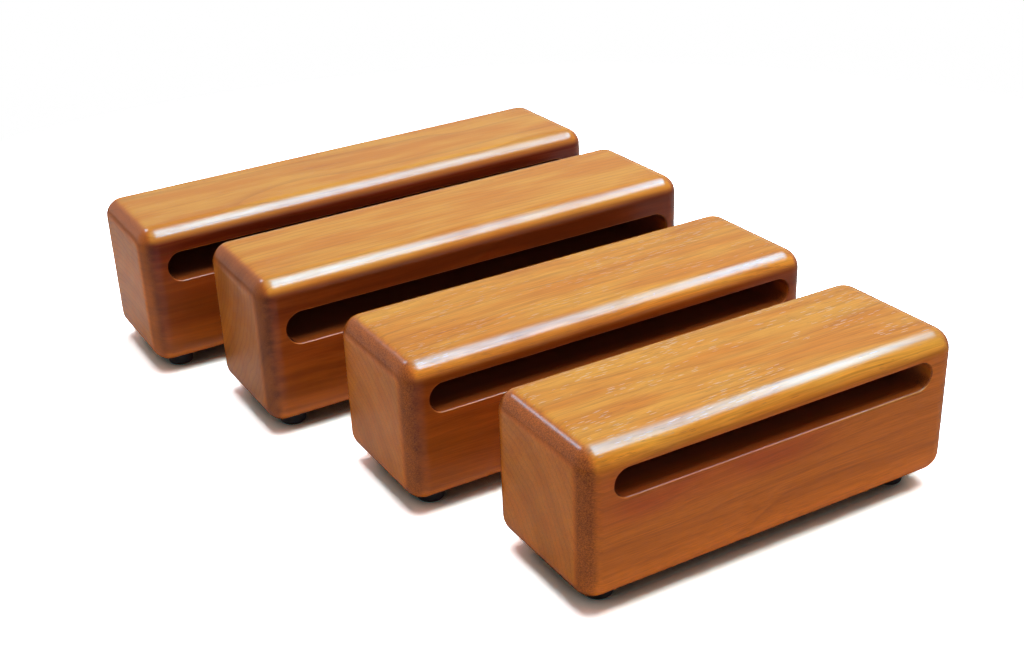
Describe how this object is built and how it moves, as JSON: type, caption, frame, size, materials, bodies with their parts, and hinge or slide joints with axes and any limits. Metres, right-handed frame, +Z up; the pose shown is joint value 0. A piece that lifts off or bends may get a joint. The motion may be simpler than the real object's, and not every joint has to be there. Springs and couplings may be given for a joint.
{
  "type": "wood block set",
  "caption": "Graduated hardwood percussion blocks, each hollowed by one long slot in its front face and standing on small rubber feet.",
  "frame": {"origin": "on the floor under the middle of the set's bounding box", "axes": "+Z up, +X along the blocks to the right as the slots are seen, +Y from the front (shortest) block to the back (longest) one; the slots open to -Y"},
  "size_m": [0.2246, 0.3016, 0.069],
  "materials": {
    "block_1_wood": "satin clear lacquer on hardwood",
    "block_2_wood": "satin clear lacquer on hardwood",
    "block_3_wood": "satin clear lacquer on hardwood",
    "block_4_wood": "satin clear lacquer on hardwood",
    "rubber": "matte black moulded rubber",
    "steel": "bright zinc-plated steel"
  },
  "bodies": {
    "block_1": {"block_1_body": "block_1_wood", "block_1_foot_front_left": "rubber", "block_1_washer_front_left": "steel", "block_1_screw_front_left": "steel", "block_1_foot_front_right": "rubber", "block_1_washer_front_right": "steel", "block_1_screw_front_right": "steel", "block_1_foot_rear_left": "rubber", "block_1_washer_rear_left": "steel", "block_1_screw_rear_left": "steel", "block_1_foot_rear_right": "rubber", "block_1_washer_rear_right": "steel", "block_1_screw_rear_right": "steel"},
    "block_2": {"block_2_body": "block_2_wood", "block_2_foot_front_left": "rubber", "block_2_washer_front_left": "steel", "block_2_screw_front_left": "steel", "block_2_foot_front_right": "rubber", "block_2_washer_front_right": "steel", "block_2_screw_front_right": "steel", "block_2_foot_rear_left": "rubber", "block_2_washer_rear_left": "steel", "block_2_screw_rear_left": "steel", "block_2_foot_rear_right": "rubber", "block_2_washer_rear_right": "steel", "block_2_screw_rear_right": "steel"},
    "block_3": {"block_3_body": "block_3_wood", "block_3_foot_front_left": "rubber", "block_3_washer_front_left": "steel", "block_3_screw_front_left": "steel", "block_3_foot_front_right": "rubber", "block_3_washer_front_right": "steel", "block_3_screw_front_right": "steel", "block_3_foot_rear_left": "rubber", "block_3_washer_rear_left": "steel", "block_3_screw_rear_left": "steel", "block_3_foot_rear_right": "rubber", "block_3_washer_rear_right": "steel", "block_3_screw_rear_right": "steel"},
    "block_4": {"block_4_body": "block_4_wood", "block_4_foot_front_left": "rubber", "block_4_washer_front_left": "steel", "block_4_screw_front_left": "steel", "block_4_foot_front_right": "rubber", "block_4_washer_front_right": "steel", "block_4_screw_front_right": "steel", "block_4_foot_rear_left": "rubber", "block_4_washer_rear_left": "steel", "block_4_screw_rear_left": "steel", "block_4_foot_rear_right": "rubber", "block_4_washer_rear_right": "steel", "block_4_screw_rear_right": "steel"}
  },
  "joints": [
    {"name": "block_1_lift", "type": "slide", "parent": "block_4", "child": "block_1", "axis": [0, 0, 1], "range_m": [0, 0.1]},
    {"name": "block_2_lift", "type": "slide", "parent": "block_4", "child": "block_2", "axis": [0, 0, 1], "range_m": [0, 0.1]},
    {"name": "block_3_lift", "type": "slide", "parent": "block_4", "child": "block_3", "axis": [0, 0, 1], "range_m": [0, 0.1]}
  ]
}
